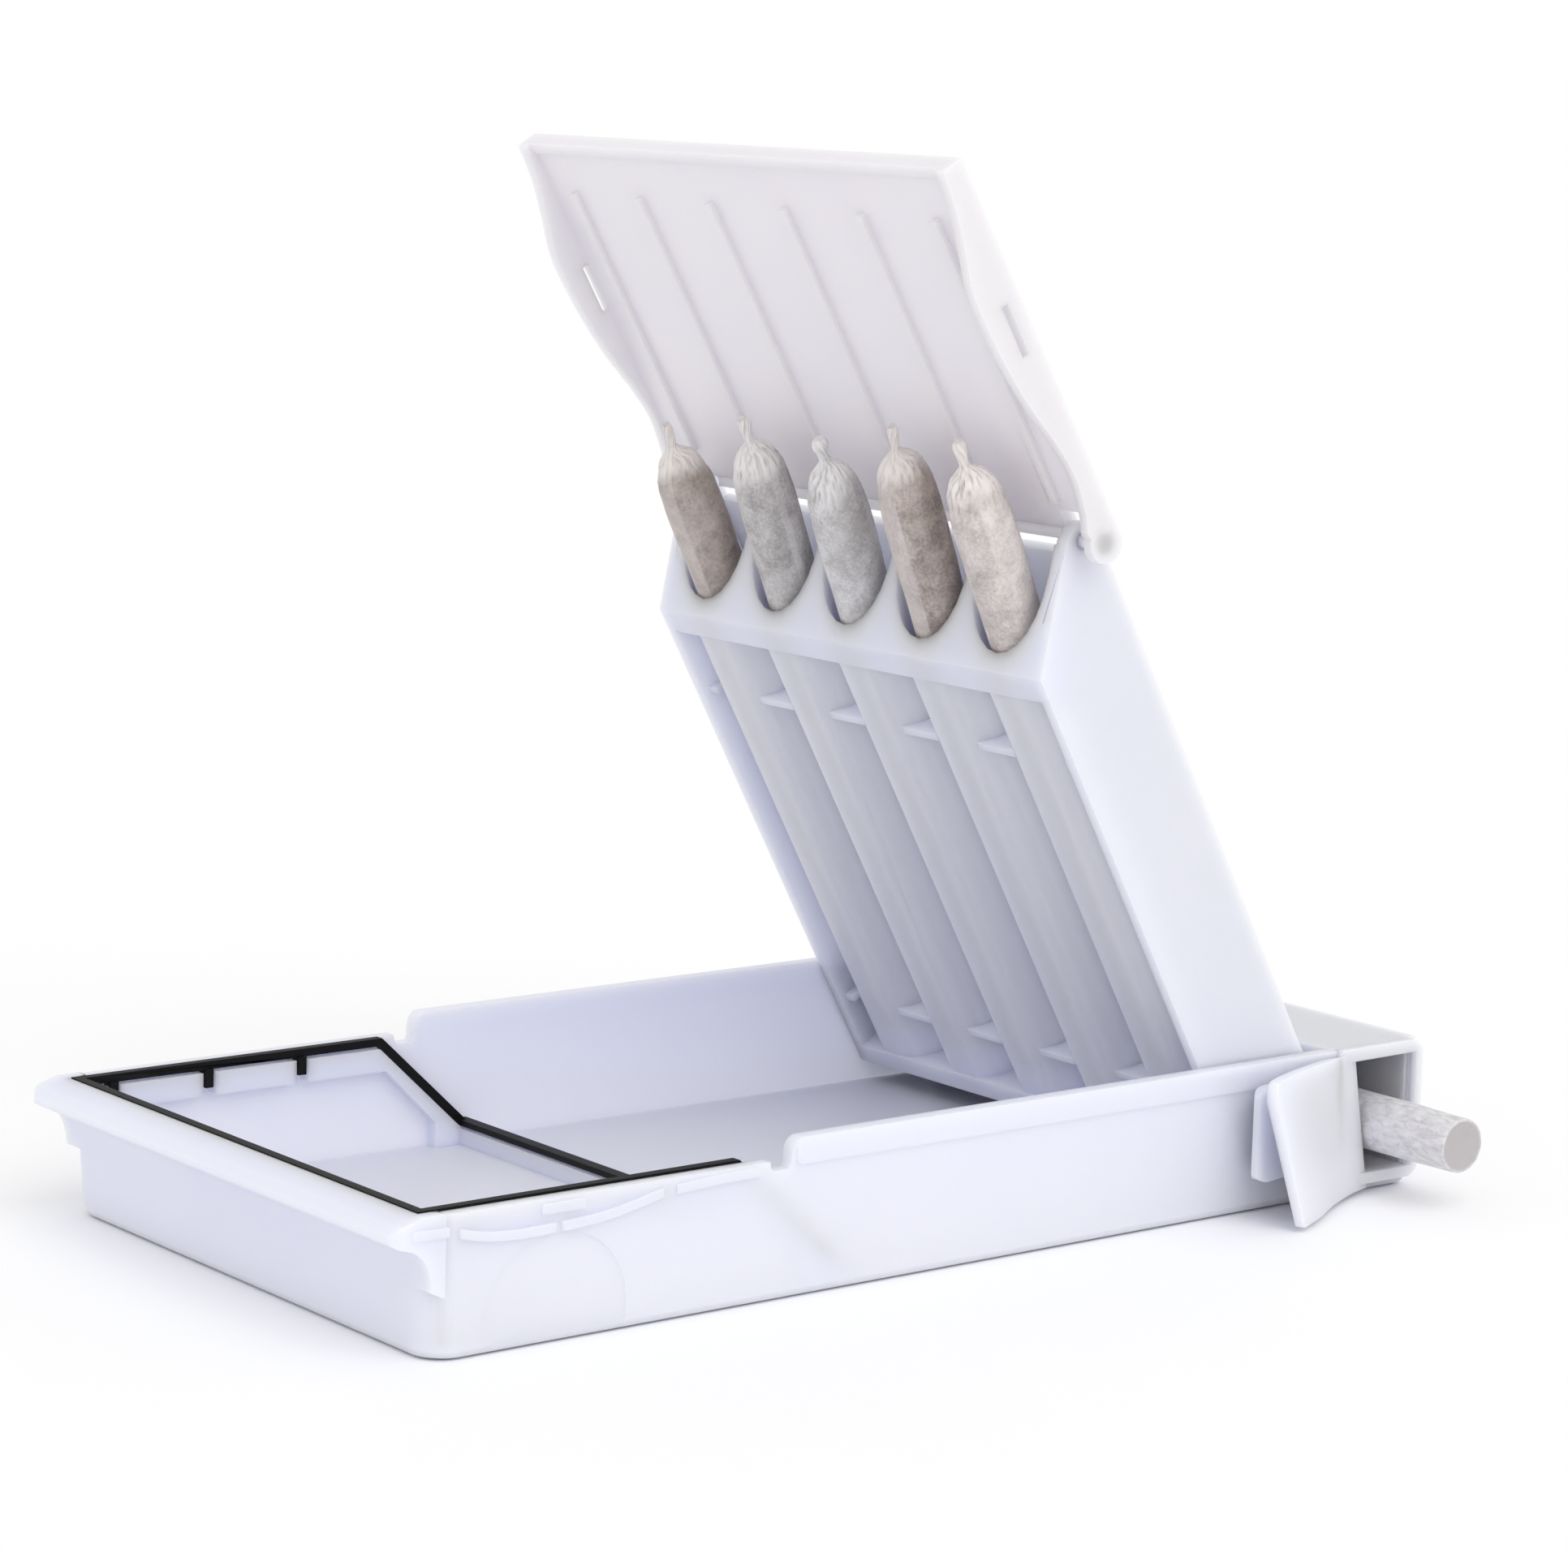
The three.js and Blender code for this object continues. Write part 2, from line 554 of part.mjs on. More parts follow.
add(tray, "tray_base", trayBase(), WHITE);
add(tray, "compartment_gasket", compartmentGasket(), BLACK);
add(cartridge, "cartridge_body", cartridgeBody(), WHITE);
add(cartridge, "cartridge_back_plate", cartridgeBackPlate(), WHITE);
const flap = new THREE.Group(); // turns about the lid's own hinge
flap.position.set(LID_AXIS.u, 0, LID_AXIS.n);
flap.rotation.y = LID_LEAN;
cartridge.add(flap);
add(flap, "lid", lid().translate([-LID_AXIS.u, 0, -LID_AXIS.n]), INNER_WHITE);
for (const [end, side] of [["near", 1], ["far", -1]]) {
  const hingePin = barY(HINGE_U, HINGE_N, 1.45, ...sideY(side, 26.3, 30.4), 16);
  const lidPin = barY(LID_AXIS.u, LID_AXIS.n, 0.7, ...sideY(side, 28.3, 32), 12);
  add(cartridge, `cartridge_hinge_pin_${end}`, hingePin, WHITE);
  add(cartridge, `lid_hinge_pin_${end}`, lidPin, WHITE);
}

STICK_ENDS.forEach((end, index) => {
  const [paper, card] = [filledStick(), cardTip()]
    .map((solid) => inChannel(solid.rotate([90, 0, 0]), end, CHANNELS[index]));
  add(cartridge, `filled_stick_${index + 1}`, paper, PAPERS[index]);
  add(cartridge, `stick_${index + 1}_card_tip`, card, CARD);
});

add(tray, "drawer_sleeve", drawerSleeve(), WHITE);
add(tray, "drawer_front", drawerFront(), WHITE);
add(tray, "latch_leaf", latchLeaf(), WHITE);
add(tray, "spare_stick", spareStick(), GREY_PAPER);

export default root;
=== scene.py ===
import json
import math

import bpy
from mathutils import Matrix, Vector, noise


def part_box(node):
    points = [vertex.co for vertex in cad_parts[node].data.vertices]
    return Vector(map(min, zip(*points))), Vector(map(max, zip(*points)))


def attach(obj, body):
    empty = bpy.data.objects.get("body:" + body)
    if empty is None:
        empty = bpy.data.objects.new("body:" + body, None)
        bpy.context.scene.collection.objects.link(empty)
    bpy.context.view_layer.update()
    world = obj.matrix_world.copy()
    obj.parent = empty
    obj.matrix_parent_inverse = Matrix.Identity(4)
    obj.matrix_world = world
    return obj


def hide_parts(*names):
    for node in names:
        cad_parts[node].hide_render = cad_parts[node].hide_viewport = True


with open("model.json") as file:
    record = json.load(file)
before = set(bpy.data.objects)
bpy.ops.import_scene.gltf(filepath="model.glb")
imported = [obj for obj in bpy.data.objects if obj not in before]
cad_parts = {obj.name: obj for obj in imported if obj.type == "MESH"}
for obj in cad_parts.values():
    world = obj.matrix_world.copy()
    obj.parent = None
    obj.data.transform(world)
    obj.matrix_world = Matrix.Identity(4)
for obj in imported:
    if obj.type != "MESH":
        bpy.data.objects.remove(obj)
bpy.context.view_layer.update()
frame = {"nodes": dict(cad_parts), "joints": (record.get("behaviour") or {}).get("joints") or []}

bl_info = {
    "name": "Pocket stick case",
    "version": (1, 0, 0),
    "blender": (4, 5, 0),
    "location": "3D View > Sidebar > Stick case",
    "description": "Finishes the mouldings, the rubber seal and the rolled sticks of a pocket case",
    "category": "Add Mesh",
}

MM = 0.001
STICK_NUMBERS = (1, 2, 3, 4, 5)


def linear(hex_colour):
    """An sRGB hex colour as linear RGBA."""
    parts = [int(hex_colour[i : i + 2], 16) / 255 for i in (1, 3, 5)]
    curve = [c / 12.92 if c <= 0.04045 else ((c + 0.055) / 1.055) ** 2.4 for c in parts]
    return (*curve, 1.0)


# ---- Settings a user would change ----
def colour_setting(name, description, hex_colour):
    return bpy.props.FloatVectorProperty(
        name=name, description=description, subtype="COLOR", size=4, min=0, max=1,
        default=linear(hex_colour))


def length_setting(name, description, millimetres):
    return bpy.props.FloatProperty(
        name=name, description=description, default=millimetres * MM, unit="LENGTH")


def angle_setting(name, description, degrees):
    return bpy.props.FloatProperty(
        name=name, description=description, default=math.radians(degrees), subtype="ANGLE")


class CaseSizes(bpy.types.PropertyGroup):
    """Sizes that Blender adds to the mouldings and the sticks."""

    edge: length_setting("Moulded edge", "Width of the rounding on the plastic's edges", 0.16)
    soft_edge: length_setting("Soft edge", "Width of the rounding on the seal and the card", 0.1)
    paper: length_setting("Paper radius", "Outside radius of a rolled stick", 2.95)
    neck: length_setting("Neck radius", "Radius where the paper is twisted shut", 0.62)
    twist: length_setting("Twisted end", "Length of the twisted nub above the shoulder", 2.5)


class CaseColours(bpy.types.PropertyGroup):
    """Colours of the finishes."""

    white: colour_setting("White", "Lit white of the case plastic", "#e4e5f3")
    white_shade: colour_setting("White, thin", "The same plastic where it is thinner", "#dfe1f1")
    lid: colour_setting("Lid white", "Lit white of the lid", "#e4e1e4")
    lid_shade: colour_setting("Lid white, thin", "The lid's plastic where it is thinner", "#e0dce0")
    rubber: colour_setting("Rubber", "Black of the seal", "#040405")
    dust: colour_setting("Dust", "Lint that the seal holds", "#1c1b1d")
    # Painted shade: the darker colour laid into the pleat valleys of the twisted paper.
    painted_crease_shade: colour_setting("Crease", "Shaded creases of the twisted paper", "#a79c95")
    card: colour_setting("Card", "Card of the rolled tips", "#e6dfd2")
    card_dark: colour_setting("Card fibres", "Darker fibres in the card", "#cfc5b4")
    spare: colour_setting("Grey stick", "Outside of the loose stick", "#dddbdc")
    spare_dark: colour_setting("Grey stick, dark", "Streaks of the loose stick", "#c6c3c4")
    spare_pale: colour_setting("Grey stick, pale", "Pale fibres of the loose stick", "#eae8e9")
    spare_end: colour_setting("Grey stick, end", "Cut end of the loose stick", "#b9b5b6")


class StageSettings(bpy.types.PropertyGroup):
    """The floor, the light and the camera."""

    floor_size: length_setting("Floor", "Side of the square floor", 60000)
    lens: bpy.props.FloatProperty(
        name="Lens", description="Focal length of the camera", default=104.505, unit="CAMERA")
    place: bpy.props.FloatVectorProperty(
        name="Place", description="Where the camera stands", size=3, subtype="TRANSLATION",
        default=(-0.2689, -0.3417, 0.11213))
    heading: angle_setting("Heading", "The way the camera looks, turned from +Y towards +X", 38.360)
    dip: angle_setting("Dip", "How far the camera looks down", 9.149)
    roll: angle_setting("Roll", "How far the camera is tipped about its own line of sight", 1.592)
    sky: bpy.props.FloatProperty(
        name="Sky", description="Strength of the light from all round", default=0.82, min=0)
    key: bpy.props.FloatProperty(
        name="Key", description="Strength of the wide soft light from above", default=0.9, min=0)
    key_way: bpy.props.FloatVectorProperty(
        name="Key direction", description="The way the soft light shines", size=3,
        subtype="DIRECTION", default=(0.08, 0.7, -0.7))
    softness: angle_setting("Softness", "How wide the soft light is across", 55)
    backdrop: bpy.props.FloatProperty(
        name="Backdrop", description="Strength of the white behind the object, as the camera sees it",
        default=1.05, min=0)


def sizes():
    return bpy.context.scene.stick_case_sizes


def colours():
    return bpy.context.scene.stick_case_colours


# ---- Materials ----
def add_node(material, kind, settings=None, links=None):
    """Adds a node. settings sets its properties and input sockets by name or number, links feeds
    its inputs from (node, output), and stops are the points of a colour ramp."""
    tree = material.node_tree
    node = tree.nodes.new(kind)
    for key, value in (settings or {}).items():
        if key == "stops":
            ramp = node.color_ramp
            while len(ramp.elements) < len(value):
                ramp.elements.new(0.5)
            for element, (position, colour) in zip(ramp.elements, value):
                element.position, element.color = position, colour
        elif isinstance(key, str) and hasattr(node, key):
            setattr(node, key, value)
        else:
            node.inputs[key].default_value = value
    for key, (source, output) in (links or {}).items():
        tree.links.new(source.outputs[output], node.inputs[key])
    return node


def new_material(name, **sockets):
    """A material with an empty node tree but for its shader and output."""
    material = bpy.data.materials.new(name)
    material.use_nodes = True
    material.node_tree.nodes.clear()
    shader = add_node(material, "ShaderNodeBsdfPrincipled", sockets)
    add_node(material, "ShaderNodeOutputMaterial", links={"Surface": (shader, "BSDF")})
    return material, shader


def feed(material, source, output, shader, socket):
    material.node_tree.links.new(source.outputs[output], shader.inputs[socket])


def per_mm(millimetres):
    """The texture scale whose pattern repeats about every so many millimetres."""
    return 1 / (millimetres * MM)


def moulded_polypropylene(name, lit, thin):
    """Injection-moulded polypropylene from a fine spark-eroded mould: satin, with soft wide
    highlights, slight flow marks and a grain that only just breaks the gloss."""
    # The walls are only 0.7 to 1.5 mm thick, and light passes through them.
    material, shader = new_material(name, IOR=1.49, **{
        "Subsurface Weight": 1.0, "Subsurface Scale": 3 * MM,
        "Subsurface Radius": (1.0, 1.0, 1.1)})
    place = add_node(material, "ShaderNodeTexCoord")
    flow = add_node(material, "ShaderNodeTexNoise",
                    {"Scale": per_mm(22), "Detail": 2.0, "Distortion": 0.4},
                    {"Vector": (place, "Object")})
    tint = add_node(material, "ShaderNodeMix", {"data_type": "RGBA", 6: lit, 7: thin},
                    {0: (flow, "Fac")})
    # The real grain is about 0.05 mm; it is drawn at 0.3 mm, the finest that shows.
    grain = add_node(material, "ShaderNodeTexNoise", {"Scale": per_mm(0.3), "Detail": 3.0},
                     {"Vector": (place, "Object")})
    relief = add_node(material, "ShaderNodeBump", {"Strength": 0.16, "Distance": 0.03 * MM},
                      {"Height": (grain, "Fac")})
    sheen = add_node(material, "ShaderNodeMapRange", {"To Min": 0.36, "To Max": 0.5},
                     {"Value": (flow, "Fac")})
    feed(material, tint, 2, shader, "Base Color")
    feed(material, sheen, "Result", shader, "Roughness")
    feed(material, relief, "Normal", shader, "Normal")
    return material


def silicone_rubber(name):
    """Moulded silicone rubber: near black and half matt, and it holds lint."""
    material, shader = new_material(name, Roughness=0.55, IOR=1.3)
    place = add_node(material, "ShaderNodeTexCoord")
    lint = add_node(material, "ShaderNodeTexNoise", {"Scale": per_mm(0.5), "Detail": 4.0},
                    {"Vector": (place, "Object")})
    specks = add_node(material, "ShaderNodeValToRGB",
                      {"stops": [(0.66, colours().rubber), (0.78, colours().dust)]},
                      {"Fac": (lint, "Fac")})
    relief = add_node(material, "ShaderNodeBump", {"Strength": 0.2, "Distance": 0.03 * MM},
                      {"Height": (lint, "Fac")})
    feed(material, specks, "Color", shader, "Base Color")
    feed(material, relief, "Normal", shader, "Normal")
    return material


def filled_paper(name, dark, light, veil):
    """Thin uncoated rolling paper over ground filling: the filling shows through as a mottle,
    and a second layer of paper or the twisted end hides it; the pleat valleys get painted shade."""
    material, shader = new_material(name, Roughness=0.82, IOR=1.45)
    place = add_node(material, "ShaderNodeTexCoord")
    lumps = add_node(material, "ShaderNodeTexNoise",
                     {"Scale": per_mm(2.4), "Detail": 2.0, "Distortion": 0.6},
                     {"Vector": (place, "Object")})
    crumbs = add_node(material, "ShaderNodeTexNoise",
                      {"Scale": per_mm(0.34), "Detail": 5.0, "Roughness": 0.75},
                      {"Vector": (place, "Object")})
    part = add_node(material, "ShaderNodeMath", {"operation": "MULTIPLY", 1: 0.55},
                    {0: (crumbs, "Fac")})
    both = add_node(material, "ShaderNodeMath", {"operation": "MULTIPLY_ADD", 1: 0.45},
                    {0: (lumps, "Fac"), 2: (part, 0)})
    filling = add_node(material, "ShaderNodeValToRGB",
                       {"stops": [(0.38, dark), (0.62, light)]}, {"Fac": (both, 0)})
    layers = add_node(material, "ShaderNodeAttribute", {"attribute_name": "layers"})
    veiled = add_node(material, "ShaderNodeMix",
                      {"data_type": "RGBA", 7: veil}, {0: (layers, "Fac"), 6: (filling, "Color")})
    # Painted shade: the deeper a point lies in a pleat valley, the more it is mixed towards the
    # painted shade colour of the creases.
    fold = add_node(material, "ShaderNodeAttribute", {"attribute_name": "fold"})
    with_pleat_shade = add_node(material, "ShaderNodeMix", {"data_type": "RGBA", 7: colours().painted_crease_shade},
                       {0: (fold, "Fac"), 6: (veiled, 2)})
    web = add_node(material, "ShaderNodeTexNoise", {"Scale": per_mm(0.25), "Detail": 3.0},
                   {"Vector": (place, "Object")})
    rough = add_node(material, "ShaderNodeMix", {"data_type": "FLOAT", 0: 0.5},
                     {2: (web, "Fac"), 3: (lumps, "Fac")})
    relief = add_node(material, "ShaderNodeBump", {"Strength": 0.5, "Distance": 0.12 * MM},
                      {"Height": (rough, 0)})
    feed(material, with_pleat_shade, 2, shader, "Base Color")
    feed(material, relief, "Normal", shader, "Normal")
    return material


def filter_card(name):
    """Thin unbleached card, calendered: matt, with short fibres in it."""
    material, shader = new_material(name, Roughness=0.8, IOR=1.45)
    place = add_node(material, "ShaderNodeTexCoord")
    web = add_node(material, "ShaderNodeTexNoise", {"Scale": per_mm(0.4), "Detail": 4.0},
                   {"Vector": (place, "Object")})
    tone = add_node(material, "ShaderNodeValToRGB",
                    {"stops": [(0.35, colours().card_dark), (0.65, colours().card)]},
                    {"Fac": (web, "Fac")})
    relief = add_node(material, "ShaderNodeBump", {"Strength": 0.3, "Distance": 0.05 * MM},
                      {"Height": (web, "Fac")})
    feed(material, tone, "Color", shader, "Base Color")
    feed(material, relief, "Normal", shader, "Normal")
    return material


def grey_rolled_paper(name):
    """Ash-grey rolled paper, uncoated: matt, with fibres that run along the stick."""
    material, shader = new_material(name, Roughness=0.9, IOR=1.45)
    place = add_node(material, "ShaderNodeTexCoord")
    along = add_node(material, "ShaderNodeMapping", {"Scale": (1, 0.45, 1)},
                     {"Vector": (place, "Object")})
    streaks = add_node(material, "ShaderNodeTexNoise",
                       {"Scale": per_mm(0.55), "Detail": 5.0, "Roughness": 0.6, "Distortion": 0.5},
                       {"Vector": (along, "Vector")})
    tone = add_node(material, "ShaderNodeValToRGB",
                    {"stops": [(0.3, colours().spare_dark), (0.52, colours().spare),
                               (0.72, colours().spare_pale)]},
                    {"Fac": (streaks, "Fac")})
    end = add_node(material, "ShaderNodeAttribute", {"attribute_name": "end_face"})
    shaded = add_node(material, "ShaderNodeMix", {"data_type": "RGBA", 7: colours().spare_end},
                      {0: (end, "Fac"), 6: (tone, "Color")})
    relief = add_node(material, "ShaderNodeBump", {"Strength": 0.55, "Distance": 0.15 * MM},
                      {"Height": (streaks, "Fac")})
    feed(material, shaded, 2, shader, "Base Color")
    feed(material, relief, "Normal", shader, "Normal")
    return material


def studio_floor(name):
    """Matt white paper sweep."""
    material, shader = new_material(name, Roughness=0.95)
    place = add_node(material, "ShaderNodeTexCoord")
    tooth = add_node(material, "ShaderNodeTexNoise", {"Scale": per_mm(60), "Detail": 2.0},
                     {"Vector": (place, "Object")})
    tone = add_node(material, "ShaderNodeMix",
                    {"data_type": "RGBA", 6: linear("#ffffff"), 7: linear("#fdfdfd")},
                    {0: (tooth, "Fac")})
    feed(material, tone, 2, shader, "Base Color")
    return material


def material_once(maker, name, *settings):
    return bpy.data.materials.get(name) or maker(name, *settings)


def white_plastic():
    return material_once(moulded_polypropylene, "white moulded polypropylene",
                         colours().white, colours().white_shade)


def lid_plastic():
    return material_once(moulded_polypropylene, "lid moulded polypropylene",
                         colours().lid, colours().lid_shade)


# ---- Modelling ----
SHARP_EDGE = math.radians(32)  # edges sharper than this are rounded
SMOOTH_BELOW = math.radians(40)  # edges flatter than this are shaded smooth
WELD = 0.1 * MM  # a CAD node's corners closer than this become one


def only(piece):
    """Selects and activates one object."""
    bpy.ops.object.select_all(action="DESELECT")
    piece.select_set(True)
    bpy.context.view_layer.objects.active = piece


def settle(piece, name, body, material, node):
    """Names a finished piece, gives it its finish, and sets it on its body in a node's place."""
    piece.name = name
    piece.data.name = name
    piece.data.materials.clear()
    piece.data.materials.append(material)
    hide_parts(node)
    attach(piece, body)


def apply_modifier(piece, kind, **settings):
    modifier = piece.modifiers.new(kind.lower(), kind)
    for key, value in settings.items():
        setattr(modifier, key, value)
    only(piece)
    bpy.ops.object.modifier_apply(modifier=modifier.name)


def merged_copy(node):
    """A copy of a CAD node with its loose triangles merged and its flat faces made whole."""
    mesh = frame["nodes"][node].data.copy()
    piece = bpy.data.objects.new(node + "_moulding", mesh)
    bpy.context.scene.collection.objects.link(piece)
    only(piece)
    bpy.ops.object.mode_set(mode="EDIT")
    bpy.ops.mesh.select_all(action="SELECT")
    bpy.ops.mesh.remove_doubles(threshold=WELD)
    bpy.ops.mesh.dissolve_limited(angle_limit=math.radians(1))
    bpy.ops.mesh.vert_connect_concave()
    bpy.ops.object.mode_set(mode="OBJECT")
    return piece


def round_edges(piece, width):
    """Rounds the edges that the mould leaves round, and keeps the broad faces flat."""
    apply_modifier(
        piece, "BEVEL", width=width, segments=2, limit_method="ANGLE", angle_limit=SHARP_EDGE,
        loop_slide=False)
    only(piece)
    bpy.ops.object.shade_smooth_by_angle(angle=SMOOTH_BELOW)
    apply_modifier(piece, "WEIGHTED_NORMAL", keep_sharp=True, weight=60)


def moulding(node, body, material, width):
    """Rounds a CAD node's edges, gives it its finish, and sets it on its body."""
    piece = merged_copy(node)
    round_edges(piece, width)
    settle(piece, node + "_moulding", body, material, node)


def ring_stack(rings, sides):
    """An edit-mode stack of rings round Z, from (radius, height) pairs, closed at both ends."""
    radius, height = rings[0]
    bpy.ops.object.select_all(action="DESELECT")
    bpy.ops.mesh.primitive_circle_add(
        vertices=sides, radius=radius, fill_type="NGON", location=(0, 0, height))
    piece = bpy.context.object
    bpy.ops.object.transform_apply()
    bpy.ops.object.mode_set(mode="EDIT")
    bpy.ops.mesh.select_mode(type="FACE")
    bpy.ops.mesh.select_all(action="SELECT")
    for (r0, z0), (r1, z1) in zip(rings, rings[1:]):
        bpy.ops.mesh.extrude_region_move(
            TRANSFORM_OT_translate={"value": (0, 0, z1 - z0), "orient_type": "GLOBAL"})
        bpy.ops.transform.resize(value=(r1 / r0, r1 / r0, 1), orient_type="GLOBAL",
                                 center_override=(0, 0, z1))
    bpy.ops.mesh.select_all(action="SELECT")
    bpy.ops.mesh.normals_make_consistent(inside=False)
    bpy.ops.object.mode_set(mode="OBJECT")
    return piece


# The filling's colours and the paper's own (veil), where the paper lies double (from and to, in
# degrees from the front, and how far it hides the filling), how hard the neck is twisted, and how
# the nub is shaped: its radius in mm, how flat it is, and how far it leans in mm.
STICK_LOOKS = {
    1: dict(dark="#87796f", light="#bdb0a8", veil="#f4eeea", double=(-104, -34, 0.42),
            turns=0.9, nub=0.7, flat=0.7, lean=(-0.1, 0.2)),
    2: dict(dark="#959190", light="#d2cecd", veil="#f0eceb", double=(12, 30, 0.45),
            turns=0.7, nub=0.86, flat=0.75, lean=(-0.25, -0.1)),
    3: dict(dark="#adaaaa", light="#e2e0e0", veil="#efedee", double=(62, 100, 0.4),
            turns=-0.6, nub=0.98, flat=0.8, lean=(0.15, 0.0)),
    4: dict(dark="#80736b", light="#c9bcb5", veil="#ede7e5", double=(-112, -36, 0.5),
            turns=0.8, nub=0.78, flat=0.65, lean=(0.05, 0.25)),
    5: dict(dark="#aaa19d", light="#e3d9d5", veil="#f6f0ed", double=(-5, 110, 0.35),
            turns=-0.8, nub=0.85, flat=0.7, lean=(-0.2, 0.1)),
}
FACING = Vector((-0.61, -0.77, 0.16))  # each stick's seam angles are counted from this side
STICK_RISE = {1: 19.9, 2: 21.6, 3: 20.5, 4: 22.9, 5: 22.3}  # mm that each stands above the mouth


class StickLine:
    """Where one stick runs: a straight foot in its channel, then a lean to its twisted end."""

    BEND = -6 * MM  # counted up the channel from its mouth
    SOFT = 6 * MM  # length over which the bend comes in

    def __init__(self, number):
        slide = next(j for j in frame["joints"] if j["name"] == f"stick_{number}_slide")
        self.up = Vector(slide["axis"]).normalized()
        paper = [v.co for v in frame["nodes"][f"filled_stick_{number}"].data.vertices]
        card = [v.co for v in frame["nodes"][f"stick_{number}_card_tip"].data.vertices]
        self.top = max(paper, key=lambda p: p.dot(self.up)).copy()
        lowest = min(p.dot(self.up) for p in card)
        end = [p for p in card if p.dot(self.up) < lowest + 0.1 * MM]
        self.foot = sum(end, Vector()) / len(end)
        self.length = (self.top - self.foot).dot(self.up)
        self.side = (self.top - self.foot) - self.up * self.length
        self.mouth = self.length - STICK_RISE[number] * MM
        self.front = (FACING - self.up * FACING.dot(self.up)).normalized()

    def lean(self, z):
        past = max(z - self.mouth - self.BEND, 0)
        return past**2 / (2 * self.SOFT) if past < self.SOFT else past - self.SOFT / 2

    def place(self, co):
        """A point of the straight stick, +Z up its length, set on the leaning line."""
        x, y, z = co
        share = self.lean(z) / self.lean(self.length)
        across = self.front * x + self.up.cross(self.front) * y
        return self.foot + self.up * z + self.side * share + across


def smooth_step(low, high, value):
    t = min(max((value - low) / (high - low), 0), 1)
    return t * t * (3 - 2 * t)


# The rolled shoulder: mm below the neck, with the share of the full radius that is left there.
SHOULDER = [(6.4, 0.995), (5.4, 0.975), (4.6, 0.95), (3.9, 0.915), (3.2, 0.87), (2.6, 0.815),
            (2.0, 0.745), (1.5, 0.66), (1.1, 0.57), (0.75, 0.46), (0.45, 0.35), (0.2, 0.26)]
STICK_SIDES = 96
BODY_STEPS = 22  # rings along the straight body
PLEATS = 5.5  # half the number of ridges round the shoulder
PLEAT_DEPTH = 0.42 * MM
DENT = 0.022  # how far the roll is out of round, as a share of its radius
FINE_DENT = 0.05 * MM
SEAM_STEP = 0.03 * MM  # thickness of the second layer of paper
WIDEST = 1.012  # no dent or pleat stands out further than this share of the radius
HELD = 0.965  # the share of the radius that the channel presses the paper to
CARD_END = 20 * MM  # below this the card tip is behind the paper, so no filling shows


